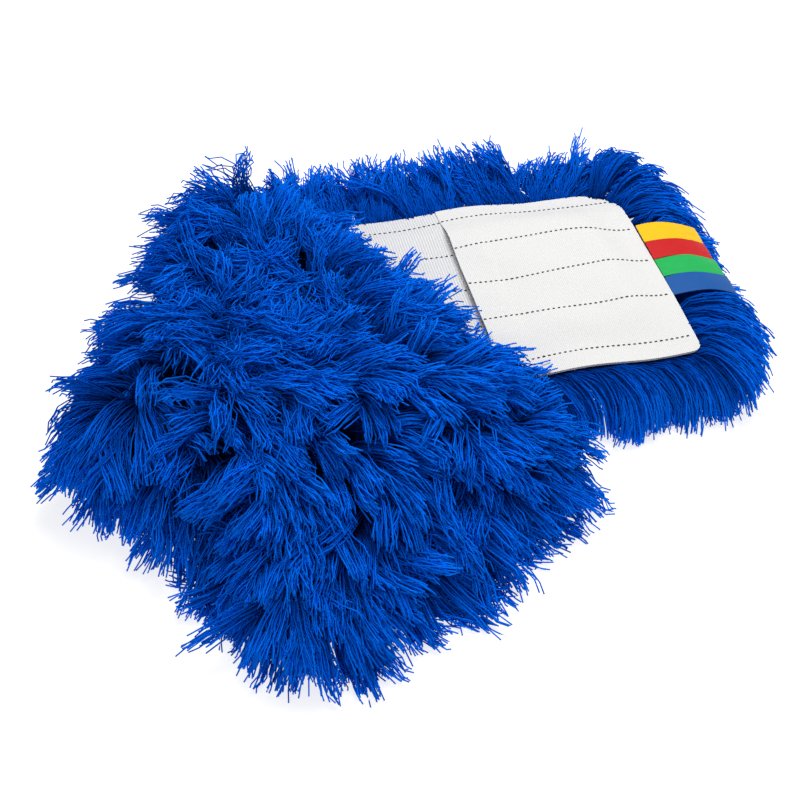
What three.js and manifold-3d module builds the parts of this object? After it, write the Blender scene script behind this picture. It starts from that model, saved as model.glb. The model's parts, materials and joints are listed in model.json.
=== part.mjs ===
import Module from "manifold-3d";
import * as THREE from "three";
import { mergeVertices } from "three/addons/utils/BufferGeometryUtils.js";

const manifold = await Module();
manifold.setup();

// A flat dust mop sleeve: a canvas backing with five rows of cut yarn sewn under it, a pocket at
// each end for the mop frame, and four ribbon tags at one end. It lies with one half folded over
// on the slant, backing to backing, so the folded half shows its yarn.
//
// Both halves are built flat by the same functions, in their own frame: u runs from the fold's
// centre to the half's end, v runs across, z is up from the floor. The lower half stays so. The
// folded half is turned half a turn about the fold line.

// Driving dimensions, in millimetres and degrees
const WIDTH = 160; // the backing, across
const LOWER_BARE = 149; // the fold's centre to the mouth of the pocket at the tags
const FOLDED_BARE = 70; // the fold's centre to the mouth of the other pocket
const FOLD_ANGLE = 59; // the fold line, from the length of the lower half
const FOLD_RADIUS = 6; // the bend, to the middle of the canvas
const PILE_HEIGHT = 32; // the floor to the middle of the lower backing
const FOLDED_PILE = 38; // the same on the folded half, whose yarn is not pressed
const CANVAS = 1.6; // backing thickness
const CLEARANCE = 0.3; // between pieces that touch
const FOLD_CLEARANCE = 0.6; // between a half and the plane of the fold

const ROWS = 5;
const THREAD_WIDTH = 0.9;
const THREAD_HEIGHT = 0.5;
const THREAD_SETBACK = 4; // a row of stitches stops this far from an edge

const POCKET_DEPTH = 115;
const POCKET_CLOTH = 1.2;
const POCKET_ROOM = 6.2; // clear height inside
const POCKET_SIDE_SEAM = 13; // width that is sewn flat
const POCKET_END_SEAM = 6;
const POCKET_RISE = 12; // run over which the panel lifts off the backing
const HEM_WIDTH = 19;
const HEM_CLOTH = 1;

const TAG_WIDTH = 16.2;
const TAG_PITCH = 16.8;
const TAG_LENGTH = 40;
const TAG_RIBBON = 1;
const TAG_DROOP = 9;
const TAG_START = 0.8; // from the end of the backing to a tag's hinge line
const TAG_STEPS = 4;

const CORNER_STEPS = 4; // steps round each corner of a half
const FOLD_STEPS = 8; // steps round the bend

// Worked out from those
const HALF_WIDTH = WIDTH / 2;
const LOWER_LENGTH = LOWER_BARE + POCKET_DEPTH; // the fold's centre to the tag end
const FOLDED_LENGTH = FOLDED_BARE + POCKET_DEPTH; // the fold's centre to the folded end
const ROW_PITCH = (WIDTH - 2 * POCKET_SIDE_SEAM) / (ROWS - 1); // the outer rows close the pocket
const fold = THREE.MathUtils.degToRad(FOLD_ANGLE);
const foldAxis = new THREE.Vector3(Math.cos(fold), Math.sin(fold), 0);
const FOLD_HALF_LENGTH = HALF_WIDTH / Math.sin(fold);
const HINGE_HEIGHT = PILE_HEIGHT + FOLD_RADIUS;
const FOLDED_FLOOR = 2 * HINGE_HEIGHT - 0.5; // the floor, seen from the folded half
const FOLDED_REST = PILE_HEIGHT - CANVAS; // what stays above the lower half
const CANVAS_TOP = PILE_HEIGHT + CANVAS / 2;
const YARN_TOP = PILE_HEIGHT - CANVAS / 2 - CLEARANCE;
const PANEL_SEAM = CANVAS_TOP + CLEARANCE + POCKET_CLOTH / 2;
const PANEL_LIFT = POCKET_ROOM - CLEARANCE;
const TAG_TOP = PANEL_SEAM + POCKET_CLOTH / 2;

// Each fringe is an outline of [distance out from the backing, height], from its foot to its root.
// Its heights are taken from the backing, apart from those on the floor.
const lowerHalf = {
  name: "lower",
  length: LOWER_LENGTH,
  floor: 0,
  nearCorner: 12,
  farCorner: 22,
  near: [
    [CLEARANCE, 0], [24, 0], [27, 4],
    [15, PILE_HEIGHT - 8], [CLEARANCE, PILE_HEIGHT - 1],
  ],
  end: [
    [CLEARANCE, 0], [52, 0], [57, PILE_HEIGHT - 24],
    [31, PILE_HEIGHT - 6], [CLEARANCE, PILE_HEIGHT - 1],
  ],
  far: [
    [CLEARANCE, 0], [50, 0], [56, PILE_HEIGHT - 6],
    [30, PILE_HEIGHT + 14], [CLEARANCE, PILE_HEIGHT + 4],
  ],
};
const foldedTop = PILE_HEIGHT - FOLDED_PILE;
const foldedHalf = {
  name: "folded",
  length: FOLDED_LENGTH,
  floor: foldedTop,
  nearCorner: 12,
  farCorner: 16,
  near: [
    [CLEARANCE, foldedTop], [25, foldedTop + 4], [42, PILE_HEIGHT - 14],
    [40, FOLDED_REST], [CLEARANCE, FOLDED_REST],
  ],
  end: [
    [CLEARANCE, foldedTop], [24, foldedTop + 4], [52, PILE_HEIGHT + 18],
    [50, FOLDED_FLOOR], [CLEARANCE, FOLDED_FLOOR],
  ],
  far: [
    [CLEARANCE, foldedTop], [20, foldedTop + 4], [43, PILE_HEIGHT + 13],
    [42, FOLDED_FLOOR], [CLEARANCE, FOLDED_FLOOR],
  ],
};

// The yarn that stands out round the bend, as [distance out from the fold plane, height]
const foldYarnOutline = [[50, 0], [70, 22], [72, 45], [50, 70], [0, 82]];
const foldYarnStations = [[-1.4, 0.35], [-1, 0.85], [0, 1], [1, 0.9], [1.37, 0.35]];

const canvas = () => new THREE.MeshStandardMaterial({ color: 0xeeede8, roughness: 0.9 });
const yarn = () => new THREE.MeshStandardMaterial({ color: 0x0a4fc4, roughness: 0.95 });
const thread = () => new THREE.MeshStandardMaterial({ color: 0x3a3a40, roughness: 0.7 });
const ribbon = (color) => new THREE.MeshStandardMaterial({ color, roughness: 0.45 });

function smooth(t) {
  const x = THREE.MathUtils.clamp(t, 0, 1);
  return x * x * (3 - 2 * x);
}

function signedVolume(position, index) {
  const [a, b, c] = [new THREE.Vector3(), new THREE.Vector3(), new THREE.Vector3()];
  let volume = 0;
  for (let i = 0; i < index.length; i += 3) {
    a.fromArray(position, 3 * index[i]);
    b.fromArray(position, 3 * index[i + 1]);
    c.fromArray(position, 3 * index[i + 2]);
    volume += a.dot(b.cross(c));
  }
  return volume;
}

// A closed solid through rings of points, each ring with the same number of them. flat gives a
// ring's point in two dimensions, for the caps.
function loft(rings, flat) {
  const count = rings[0].length;
  const position = rings.flat(2);
  const index = [];
  for (let i = 0; i + 1 < rings.length; i++) {
    for (let j = 0; j < count; j++) {
      const a = i * count + j;
      const b = i * count + ((j + 1) % count);
      index.push(a, b, b + count, a, b + count, a + count);
    }
  }
  const last = (rings.length - 1) * count;
  const turned = THREE.ShapeUtils.isClockWise(rings[0].map(flat));
  for (const [ring, start] of [[rings[0], 0], [rings.at(-1), last]]) {
    for (const face of THREE.ShapeUtils.triangulateShape(ring.map(flat), [])) {
      const cap = face.map((j) => j + start);
      const area = new THREE.Triangle(...face.map((j) => {
        const p = flat(ring[j]);
        return new THREE.Vector3(p.x, p.y, 0);
      })).getNormal(new THREE.Vector3()).z;
      const backwards = (area < 0) !== turned;
      index.push(...((start === 0) !== backwards ? cap.reverse() : cap));
    }
  }
  if (signedVolume(position, index) < 0) {
    for (let i = 0; i < index.length; i += 3) {
      [index[i + 1], index[i + 2]] = [index[i + 2], index[i + 1]];
    }
  }
  const geometry = new THREE.BufferGeometry();
  geometry.setAttribute("position", new THREE.Float32BufferAttribute(position, 3));
  geometry.setIndex(index);
  geometry.computeVertexNormals();
  return geometry;
}

const acrossSection = (p) => new THREE.Vector2(p[1], p[2]);

function solidOf(geometry) {
  const bare = new THREE.BufferGeometry();
  bare.setAttribute("position", geometry.getAttribute("position"));
  bare.setIndex(geometry.getIndex());
  const merged = mergeVertices(bare, 1e-4);
  return new manifold.Manifold(new manifold.Mesh({
    numProp: 3,
    vertProperties: new Float32Array(merged.getAttribute("position").array),
    triVerts: new Uint32Array(merged.getIndex().array),
  }));
}

// The first geometry without what it shares with the second
function without(geometry, keepOut) {
  const { vertProperties, triVerts } = solidOf(geometry).subtract(solidOf(keepOut)).getMesh();
  const cut = new THREE.BufferGeometry();
  cut.setAttribute("position", new THREE.BufferAttribute(vertProperties, 3));
  cut.setIndex(new THREE.BufferAttribute(triVerts, 1));
  cut.computeVertexNormals();
  return cut;
}

function add(group, name, geometry, material) {
  const mesh = new THREE.Mesh(geometry, material);
  mesh.name = name;
  group.add(mesh);
  return mesh;
}

// Where a half begins: on the fold, and never past the ends of the fold line on its near side
function startOf(v) {
  const onFold = v / Math.tan(fold) + FOLD_CLEARANCE / Math.sin(fold);
  if (v >= -HALF_WIDTH) return onFold;
  const besideFold = (-FOLD_HALF_LENGTH - v * Math.sin(fold)) / Math.cos(fold);
  return Math.max(onFold, besideFold + FOLD_CLEARANCE);
}

// Where a half ends: its end edge, round at the corners
function endOf(half, v) {
  const radius = v < 0 ? half.nearCorner : half.farCorner;
  const past = Math.abs(v) - (HALF_WIDTH - radius);
  if (past <= 0) return half.length;
  return half.length - radius + Math.sqrt(radius * radius - past * past);
}

const rowCentre = (row) => (row - (ROWS - 1) / 2) * ROW_PITCH;

function backingGeometry(half) {
  const outline = [];
  for (const side of [-1, 1]) {
    const radius = side < 0 ? half.nearCorner : half.farCorner;
    for (let i = 0; i <= CORNER_STEPS; i++) {
      const step = side < 0 ? i : CORNER_STEPS - i;
      const angle = (step / CORNER_STEPS) * (Math.PI / 2);
      const u = half.length - radius + radius * Math.sin(angle);
      outline.push(new THREE.Vector2(u, side * (HALF_WIDTH - radius + radius * Math.cos(angle))));
    }
  }
  outline.push(new THREE.Vector2(startOf(HALF_WIDTH), HALF_WIDTH));
  outline.push(new THREE.Vector2(startOf(-HALF_WIDTH), -HALF_WIDTH));
  const geometry = new THREE.ExtrudeGeometry(new THREE.Shape(outline), {
    depth: CANVAS,
    bevelEnabled: false,
  });
  return geometry.translate(0, 0, PILE_HEIGHT - CANVAS / 2);
}

// How far the pocket's panel stands off the backing
function panelLift(half, u, v) {
  const fromSide = HALF_WIDTH - Math.abs(v) - POCKET_SIDE_SEAM;
  const fromEnd = endOf(half, v) - u - POCKET_END_SEAM;
  return PANEL_LIFT * smooth(fromSide / POCKET_RISE) * smooth(fromEnd / POCKET_RISE);
}

// Places across a pocket: its edges, its side seams, the rise and the flat middle
function pocketPlaces() {
  const seam = HALF_WIDTH - POCKET_SIDE_SEAM;
  const half = [HALF_WIDTH, seam, seam - POCKET_RISE / 2, seam - POCKET_RISE];
  return [...half.map((v) => -v), 0, ...half.reverse()];
}

// A strip of cloth over the pocket between two distances from its mouth
function pocketSheet(half, stations, offset, thickness) {
  const mouth = half.length - POCKET_DEPTH;
  const rings = stations.map((station) => {
    const face = (side) => pocketPlaces().map((v) => {
      const u = mouth + (station / POCKET_DEPTH) * (endOf(half, v) - mouth);
      return [u, v, PANEL_SEAM + panelLift(half, u, v) + offset + (side * thickness) / 2];
    });
    return [...face(-1), ...face(1).reverse()];
  });
  return loft(rings, acrossSection);
}

// A rod of thread laid on the cloth through the given points of [u, height]
function threadGeometry(v, points) {
  const rings = points.map(([u, z]) => [
    [u, v - THREAD_WIDTH / 2, z], [u, v + THREAD_WIDTH / 2, z],
    [u, v + THREAD_WIDTH / 2, z + THREAD_HEIGHT], [u, v - THREAD_WIDTH / 2, z + THREAD_HEIGHT],
  ]);
  return loft(rings, acrossSection);
}

function pocketThreadPoints(half, v) {
  const mouth = half.length - POCKET_DEPTH;
  const end = endOf(half, v) - THREAD_SETBACK;
  const top = (u) => PANEL_SEAM + panelLift(half, u, v) + POCKET_CLOTH / 2 + CLEARANCE;
  const flatEnd = endOf(half, v) - POCKET_END_SEAM - POCKET_RISE;
  const rise = POCKET_RISE / 4;
  const places = [mouth, flatEnd, flatEnd + rise, flatEnd + 2 * rise, flatEnd + 3 * rise, end];
  return places.map((u) => [u, top(u) + (u > flatEnd && u < end ? CLEARANCE : 0)]);
}

function yarnRowGeometry(half, row) {
  const centre = rowCentre(row);
  const reach = (ROW_PITCH - CLEARANCE) / 2;
  const outer = row === 0 || row === ROWS - 1;
  const side = Math.sign(centre) || 1;
  const steps = outer ? 4 : 1;
  const section = (along) => {
    if (!outer) {
      return [[centre - reach, half.floor], [centre + reach, half.floor],
        [centre + reach, YARN_TOP], [centre - reach, YARN_TOP]];
    }
    const swell = 1 - 0.2 * (2 * along - 1) ** 2;
    const fringe = side < 0 ? half.near : half.far;
    const out = fringe.map(([w, z]) => [side * (HALF_WIDTH + (w > 1 ? w * swell : w)), z]);
    const inner = centre - side * reach;
    return [[inner, half.floor], ...out, [side * (HALF_WIDTH + CLEARANCE), YARN_TOP],
      [inner, YARN_TOP]];
  };
  const corner = side < 0 ? half.nearCorner : half.farCorner;
  const end = half.length - (outer ? corner + CLEARANCE : 0);
  const rings = [];
  for (let i = 0; i <= steps; i++) {
    const along = i / steps;
    const points = section(along);
    rings.push(points.map(([v, z]) => [THREE.MathUtils.lerp(startOf(v), end, along), v, z]));
  }
  return loft(rings, acrossSection);
}

// The fringe round a half's end: out along the normal of its edge, from the near side to the far
function endFringeGeometry(half) {
  const rings = [];
  for (const side of [-1, 1]) {
    const radius = side < 0 ? half.nearCorner : half.farCorner;
    for (let i = 0; i <= CORNER_STEPS; i++) {
      const share = side < 0 ? 1 - i / CORNER_STEPS : i / CORNER_STEPS;
      const angle = side * share * (Math.PI / 2);
      const swell = 1 - 0.2 * share * share;
      rings.push(half.end.map(([w, z], k) => {
        const beside = side < 0 ? half.near[k] : half.far[k];
        const out = radius + THREE.MathUtils.lerp(w, beside[0], share) * (k > 0 && k < 4 ? swell : 1);
        const u = half.length - radius + out * Math.cos(angle);
        const v = side * (HALF_WIDTH - radius) + out * Math.sin(angle);
        return [u, v, THREE.MathUtils.lerp(z, beside[1], share)];
      }));
    }
  }
  return loft(rings, (p) => new THREE.Vector2(Math.abs(p[1]), p[2]));
}

function makeHalf(half) {
  const group = new THREE.Group();
  const named = (piece) => `${half.name}_${piece}`;
  const mouth = half.length - POCKET_DEPTH;
  add(group, named("backing"), backingGeometry(half), canvas());

  const rise = POCKET_RISE / 3;
  const endRise = [3, 2, 1, 0].map((n) => POCKET_DEPTH - POCKET_END_SEAM - n * rise);
  const stations = [0, POCKET_DEPTH / 2, ...endRise, POCKET_DEPTH];
  add(group, named("pocket_panel"), pocketSheet(half, stations, 0, POCKET_CLOTH), canvas());
  const hemDrop = -(POCKET_CLOTH + HEM_CLOTH) / 2 - CLEARANCE;
  add(group, named("pocket_hem"), hemGeometry(half, hemDrop), canvas());

  for (let row = 0; row < ROWS; row++) {
    const v = rowCentre(row);
    const start = startOf(v) + THREAD_SETBACK;
    const onBacking = CANVAS_TOP + CLEARANCE;
    const short = [[start, onBacking], [mouth - THREAD_SETBACK / 2, onBacking]];
    add(group, named(`stitch_row_${row + 1}`), threadGeometry(v, short), thread());
    const long = pocketThreadPoints(half, v);
    add(group, named(`pocket_stitch_${row + 1}`), threadGeometry(v, long), thread());
    add(group, named(`yarn_row_${row + 1}`), yarnRowGeometry(half, row), yarn());
  }
  add(group, named("end_fringe"), endFringeGeometry(half), yarn());
  return group;
}

// The turned-in hem under the mouth of the pocket, between the rises
function hemGeometry(half, drop) {
  const mouth = half.length - POCKET_DEPTH;
  const reach = HALF_WIDTH - POCKET_SIDE_SEAM - POCKET_RISE;
  const level = PANEL_SEAM + PANEL_LIFT + drop;
  const geometry = new THREE.BoxGeometry(HEM_WIDTH, 2 * reach, HEM_CLOTH);
  return geometry.translate(mouth + HEM_WIDTH / 2, 0, level);
}

function tagGeometry() {
  const rings = [];
  for (let i = 0; i <= TAG_STEPS; i++) {
    const along = i / TAG_STEPS;
    const top = -TAG_DROOP * along * along;
    const u = TAG_LENGTH * along;
    rings.push([
      [u, -TAG_WIDTH / 2, top - TAG_RIBBON], [u, TAG_WIDTH / 2, top - TAG_RIBBON],
      [u, TAG_WIDTH / 2, top], [u, -TAG_WIDTH / 2, top],
    ]);
  }
  return loft(rings, acrossSection);
}

function makeTags() {
  const group = new THREE.Group();
  const colors = [["yellow", 0xf7b500], ["red", 0xd9291c], ["green", 0x2fb457], ["blue", 0x2b5aa8]];
  colors.forEach(([name, color], i) => {
    const tag = add(group, `tag_${name}`, tagGeometry(), ribbon(color));
    const across = ((colors.length - 1) / 2 - i) * TAG_PITCH;
    tag.position.set(LOWER_LENGTH + TAG_START, across, TAG_TOP);
  });
  return group;
}

// The two pieces of the bend, in a frame with x out from the fold plane and z up the fold line
function makeFold() {
  const group = new THREE.Group();
  const bend = [];
  for (const side of [1, -1]) {
    for (let i = 0; i <= FOLD_STEPS; i++) {
      const turn = (side > 0 ? i : FOLD_STEPS - i) / FOLD_STEPS - 0.5;
      const radius = FOLD_RADIUS + (side * CANVAS) / 2;
      const angle = turn * Math.PI;
      const height = HINGE_HEIGHT + radius * Math.sin(angle);
      bend.push(new THREE.Vector2(radius * Math.cos(angle), height));
    }
  }
  const bendGeometry = new THREE.ExtrudeGeometry(new THREE.Shape(bend), {
    depth: 2 * FOLD_HALF_LENGTH,
    bevelEnabled: false,
  });
  bendGeometry.translate(0, 0, -FOLD_HALF_LENGTH);
  add(group, "fold_backing", bendGeometry, canvas());

  const notch = [];
  const room = FOLD_RADIUS + CANVAS / 2 + CLEARANCE;
  for (let i = 0; i <= FOLD_STEPS; i++) {
    const angle = (0.5 - i / FOLD_STEPS) * Math.PI;
    const out = Math.max(FOLD_CLEARANCE, room * 1.03 * Math.cos(angle));
    notch.push([out, HINGE_HEIGHT + room * 1.03 * Math.sin(angle)]);
  }
  const rings = foldYarnStations.map(([along, swell]) => {
    const outside = foldYarnOutline.map(([out, z]) => [
      Math.max(FOLD_CLEARANCE, out * swell), z * (0.5 + 0.5 * swell),
    ]);
    const outline = [[FOLD_CLEARANCE, 0], ...outside, ...notch];
    return outline.map(([out, z]) => [out, z, along * (FOLD_HALF_LENGTH + CLEARANCE)]);
  });
  add(group, "fold_yarn", loft(rings, (p) => new THREE.Vector2(p[0], p[1])), yarn());

  const out = new THREE.Vector3(-Math.sin(fold), Math.cos(fold), 0);
  const up = new THREE.Vector3(0, 0, 1);
  const along = out.clone().cross(up);
  group.quaternion.setFromRotationMatrix(new THREE.Matrix4().makeBasis(out, up, along));
  return group;
}

const mop = new THREE.Group();
mop.add(makeHalf(lowerHalf), makeTags(), makeFold());

const foldedFlat = makeHalf(foldedHalf);
foldedFlat.rotation.z = Math.PI;
foldedFlat.position.z = -HINGE_HEIGHT;
const hinge = new THREE.Group();
hinge.quaternion.setFromAxisAngle(foldAxis, Math.PI);
hinge.position.z = HINGE_HEIGHT;
hinge.add(foldedFlat);
mop.add(hinge);

// The folded half's end fringe hangs to the floor only where the lower half isn't under it
const nearReach = HALF_WIDTH + lowerHalf.near[2][0] + CLEARANCE;
const under = new THREE.BoxGeometry(LOWER_LENGTH, 2 * nearReach, 2 * HINGE_HEIGHT - FOLDED_REST);
under.translate(LOWER_LENGTH / 2, 0, (2 * HINGE_HEIGHT - FOLDED_REST) / 2);
hinge.updateMatrixWorld(true);
under.applyMatrix4(foldedFlat.matrixWorld.clone().invert());
const hanging = foldedFlat.getObjectByName("folded_end_fringe");
hanging.geometry = without(hanging.geometry, under);

// The origin is on the floor, at the middle of the mop's outline
const box = new THREE.Box3().setFromObject(mop, true);
const middle = box.getCenter(new THREE.Vector3());
mop.position.set(-middle.x, -middle.y, -box.min.z);

export default mop;
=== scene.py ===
# %% [markdown]
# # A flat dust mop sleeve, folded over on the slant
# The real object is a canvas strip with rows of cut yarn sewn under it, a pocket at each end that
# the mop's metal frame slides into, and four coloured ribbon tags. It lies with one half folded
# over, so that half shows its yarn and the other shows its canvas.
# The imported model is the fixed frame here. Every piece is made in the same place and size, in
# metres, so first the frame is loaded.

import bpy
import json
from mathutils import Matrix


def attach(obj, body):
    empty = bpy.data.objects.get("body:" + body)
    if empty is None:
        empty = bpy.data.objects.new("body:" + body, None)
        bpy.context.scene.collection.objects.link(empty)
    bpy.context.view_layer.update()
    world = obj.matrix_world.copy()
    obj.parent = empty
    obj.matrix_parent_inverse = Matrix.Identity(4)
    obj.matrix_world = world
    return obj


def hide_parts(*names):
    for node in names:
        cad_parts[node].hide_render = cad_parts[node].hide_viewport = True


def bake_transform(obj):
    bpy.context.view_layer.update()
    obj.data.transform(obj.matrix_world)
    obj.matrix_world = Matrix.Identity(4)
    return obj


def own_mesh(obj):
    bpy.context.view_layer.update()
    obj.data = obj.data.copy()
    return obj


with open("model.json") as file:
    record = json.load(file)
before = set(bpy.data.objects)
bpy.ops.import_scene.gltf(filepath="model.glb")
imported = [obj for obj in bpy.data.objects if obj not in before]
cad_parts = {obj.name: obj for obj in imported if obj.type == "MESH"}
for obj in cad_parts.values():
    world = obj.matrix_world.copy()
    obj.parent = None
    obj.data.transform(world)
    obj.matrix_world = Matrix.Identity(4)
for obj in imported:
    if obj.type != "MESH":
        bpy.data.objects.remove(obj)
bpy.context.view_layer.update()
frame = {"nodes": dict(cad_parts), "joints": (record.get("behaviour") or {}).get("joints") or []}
print("nodes in the frame:", len(frame["nodes"]))

# %% [markdown]
# ## The ruler
# The fold's hinge gives the centre of the sleeve and the slant of the fold line. All points below
# are in millimetres from the floor under that centre: x along the lower half towards its tags,
# y across it, z up. `place` turns them into the frame's metres.

# %% Read the fold and the sizes of both halves
import json
import math

import bpy
import numpy as np
from mathutils import Vector

hinge = next(joint for joint in frame["joints"] if joint["name"] == "fold")
CENTRE = np.array(hinge["pos_m"])
FOLD_LINE = -np.array(hinge["axis"])[:2]  # along the fold, away from the viewer
FOLD_OUT = np.array([FOLD_LINE[1], -FOLD_LINE[0]])  # from the fold towards both halves
HINGE_HEIGHT = CENTRE[2] * 1000


def place(points):
    return np.asarray(points, float) / 1000 + np.array([CENTRE[0], CENTRE[1], 0])


def node_points(name):
    return np.array([v.co for v in frame["nodes"][name].data.vertices]) * 1000 - [
        CENTRE[0] * 1000, CENTRE[1] * 1000, 0]


backing = node_points("lower_backing")
HALF_WIDTH = backing[:, 1].max()
LOWER_LENGTH = backing[:, 0].max()
BACKING_HEIGHT = (backing[:, 2].max() + backing[:, 2].min()) / 2
CANVAS = 0.7
POCKET_DEPTH = np.ptp(node_points("lower_pocket_panel")[:, 0])
print(f"half width {HALF_WIDTH:.1f}, lower length {LOWER_LENGTH:.1f}, canvas {CANVAS:.1f} mm")

# %% [markdown]
# Both halves are cut from the same strip, so one set of functions makes both. `u` runs from the
# fold to a half's end and `v` across it, with the height `z` as on the lower half. The folded half
# is that same flat half, turned over about the fold line.

# %% Two halves, one recipe
SLANT = math.atan2(FOLD_LINE[1], FOLD_LINE[0])
FOLDED_U = np.array([-math.cos(2 * SLANT), -math.sin(2 * SLANT)])  # the folded half's length
FOLDED_V = np.array([FOLDED_U[1], -FOLDED_U[0]])
FOLDED_LENGTH = (node_points("folded_backing")[:, :2] @ FOLDED_U).max()
FOLDED_HANG, SIDE_HANG = 20, 10  # how far its end and its far side sink


def smooth(x):
    """An even rise from 0 to 1, level at both ends."""
    x = np.clip(x, 0, 1)
    return x * x * (3 - 2 * x)


def lower_point(u, v, z):
    u, v, z = np.broadcast_arrays(np.asarray(u, float), v, z)
    return np.stack([u, v, z], -1)


def hang(u, v):
    """How far the folded half sinks where nothing but fringe is under it."""
    beyond = -(u * FOLDED_U[1] + v * FOLDED_V[1]) - HALF_WIDTH
    side = smooth((v - 35) / 45) * smooth((u - 45) / 40) * smooth((175 - u) / 50)
    return FOLDED_HANG * smooth(beyond / 70) + SIDE_HANG * side


def folded_point(u, v, z):
    u, v, z = np.broadcast_arrays(np.asarray(u, float), v, z)
    flat = u[..., None] * FOLDED_U + v[..., None] * FOLDED_V
    height = 2 * HINGE_HEIGHT - z - hang(u, v)
    return np.concatenate([flat, height[..., None]], -1)


lower = dict(name="lower", body="lower_half", point=lower_point, length=LOWER_LENGTH,
             corners=(5, 24))
folded = dict(name="folded", body="folded_half", point=folded_point, length=FOLDED_LENGTH,
              corners=(12, 16))


def start_of(v):
    """Where a half begins, along the slanted fold."""
    return (0.6 + FOLD_LINE[0] * v) / FOLD_LINE[1]


def end_of(half, v):
    """Where a half ends, with its two rounded corners."""
    near, far = half["corners"]
    v = np.asarray(v, float)
    radius = np.where(v < 0, near, far)
    into = np.clip(np.abs(v) - (HALF_WIDTH - radius), 0, radius)
    return half["length"] - radius + np.sqrt(radius**2 - into**2)


print(f"folded length {FOLDED_LENGTH:.1f} mm, slant {math.degrees(SLANT):.0f} degrees")

# %% [markdown]
# ## Camera, floor and light
# The camera looks down at about 45 degrees with a mild telephoto lens. The light is that of a
# white product studio: one large soft lamp high up, a little behind and to the right, a weak one
# from the front left, and a bright surround, so the shadows under the yarn stay soft and short.

# %% Camera
CAMERA_AZIMUTH, CAMERA_ELEVATION = math.radians(-12.754), math.radians(45.05)
camera_data = bpy.data.cameras.new("camera")
camera_data.lens, camera_data.sensor_width = 63, 36
camera = bpy.data.objects.new("camera", camera_data)
camera.location = place([-28.25, -603.45, 568.85])
camera.rotation_euler = (math.pi / 2 - CAMERA_ELEVATION, 0, CAMERA_AZIMUTH)
bpy.context.scene.collection.objects.link(camera)
bpy.context.scene.camera = camera


# %% Floor and lamps
def new_object(name, points, faces):
    """A mesh object from points in millimetres; its own place is the frame's origin."""
    mesh = bpy.data.meshes.new(name)
    mesh.from_pydata(place(points).tolist(), [], [list(map(int, f)) for f in faces])
    mesh.update()
    piece = bpy.data.objects.new(name, mesh)
    bpy.context.scene.collection.objects.link(piece)
    return piece


def soft_lamp(name, spot, size, power):
    data = bpy.data.lights.new(name, "AREA")
    data.shape, data.size, data.energy = "SQUARE", size, power
    lamp = bpy.data.objects.new(name, data)
    lamp.location = spot
    lamp.rotation_euler = (-Vector(spot)).to_track_quat("-Z", "Y").to_euler()
    bpy.context.scene.collection.objects.link(lamp)


FLOOR = 6000
FLOOR_GREY, FLOOR_GLOW = 0.38, 0.75  # it glows a little, as a lit white sweep does
floor = new_object("floor", [(-FLOOR, -FLOOR, 0), (FLOOR, -FLOOR, 0), (FLOOR, FLOOR, 0),
                             (-FLOOR, FLOOR, 0)], [(0, 1, 2, 3)])
floor_paint = bpy.data.materials.new("floor_paint")
floor_paint.use_nodes = True
paint = floor_paint.node_tree.nodes["Principled BSDF"].inputs
paint["Base Color"].default_value = (FLOOR_GREY, FLOOR_GREY, FLOOR_GREY, 1)
paint["Roughness"].default_value = 0.9
paint["Emission Color"].default_value = (1, 1, 1, 1)
paint["Emission Strength"].default_value = FLOOR_GLOW
floor.data.materials.append(floor_paint)
soft_lamp("key", (0.25, 0.25, 1.2), 0.8, 14.8)
soft_lamp("fill", (-0.6, -0.7, 0.9), 0.8, 2.0)
surround = bpy.data.worlds.new("surround")
surround.use_nodes = True
surround.node_tree.nodes["Background"].inputs["Color"].default_value = (1, 1, 1, 1)
surround.node_tree.nodes["Background"].inputs["Strength"].default_value = 0.36
bpy.context.scene.world = surround
bpy.context.scene.view_settings.view_transform = "Standard"

# %% [markdown]
# ## Finishes
# Each finish is a small tree of shader nodes. Cloth patterns read object coordinates, because
# both halves lie flat; yarn and ribbon read a map that runs along and around them, because their
# patterns follow the strand.


# %% Helpers for shader trees
def node_adder(tree):
    """A function that adds a node to the tree and sets or links its inputs."""
    def add(kind, inputs=None, **settings):
        node = tree.nodes.new(kind)
        for key, value in settings.items():
            setattr(node, key, value)
        for key, value in (inputs or {}).items():
            if isinstance(value, bpy.types.NodeSocket):
                tree.links.new(value, node.inputs[key])
            else:
                node.inputs[key].default_value = value
        return node

    return add


def new_finish(name, color, roughness, sheen=0.0, specular=0.3):
    """A new material with uniform values set on the shader's own sockets."""
    finish = bpy.data.materials.new(name)
    finish.use_nodes = True
    tree = finish.node_tree
    shader = tree.nodes["Principled BSDF"]
    shader.inputs["Base Color"].default_value = (*color, 1)
    shader.inputs["Roughness"].default_value = roughness
    shader.inputs["Sheen Weight"].default_value = sheen
    shader.inputs["Specular IOR Level"].default_value = specular

    def link(socket, key):
        tree.links.new(socket, shader.inputs[key])

    return finish, node_adder(tree), link


def calculate(add, operation, first, second=0.0, third=0.0):
    return add("ShaderNodeMath", {0: first, 1: second, 2: third}, operation=operation).outputs[0]


def speckle(add, link, scale, dark, light):
    """Mottles the colour between two tones with fine noise."""
    where = add("ShaderNodeTexCoord").outputs["Object"]
    noise = add("ShaderNodeTexNoise", {"Vector": where, "Scale": scale})
    tone = add("ShaderNodeMix", {"Factor": noise.outputs["Fac"], 6: (*dark, 1), 7: (*light, 1)},
               data_type="RGBA")
    link(tone.outputs[2], "Base Color")


# %% [markdown]
# The canvas is a heavy white cotton with ribs that run across the strip, about 1.7 mm apart. The
# pocket is a finer, brighter cloth with a close weave. A sine wave for each of the two sets of
# threads, broken a little by noise, gives both; it drives the height and, less, the colour.


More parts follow.
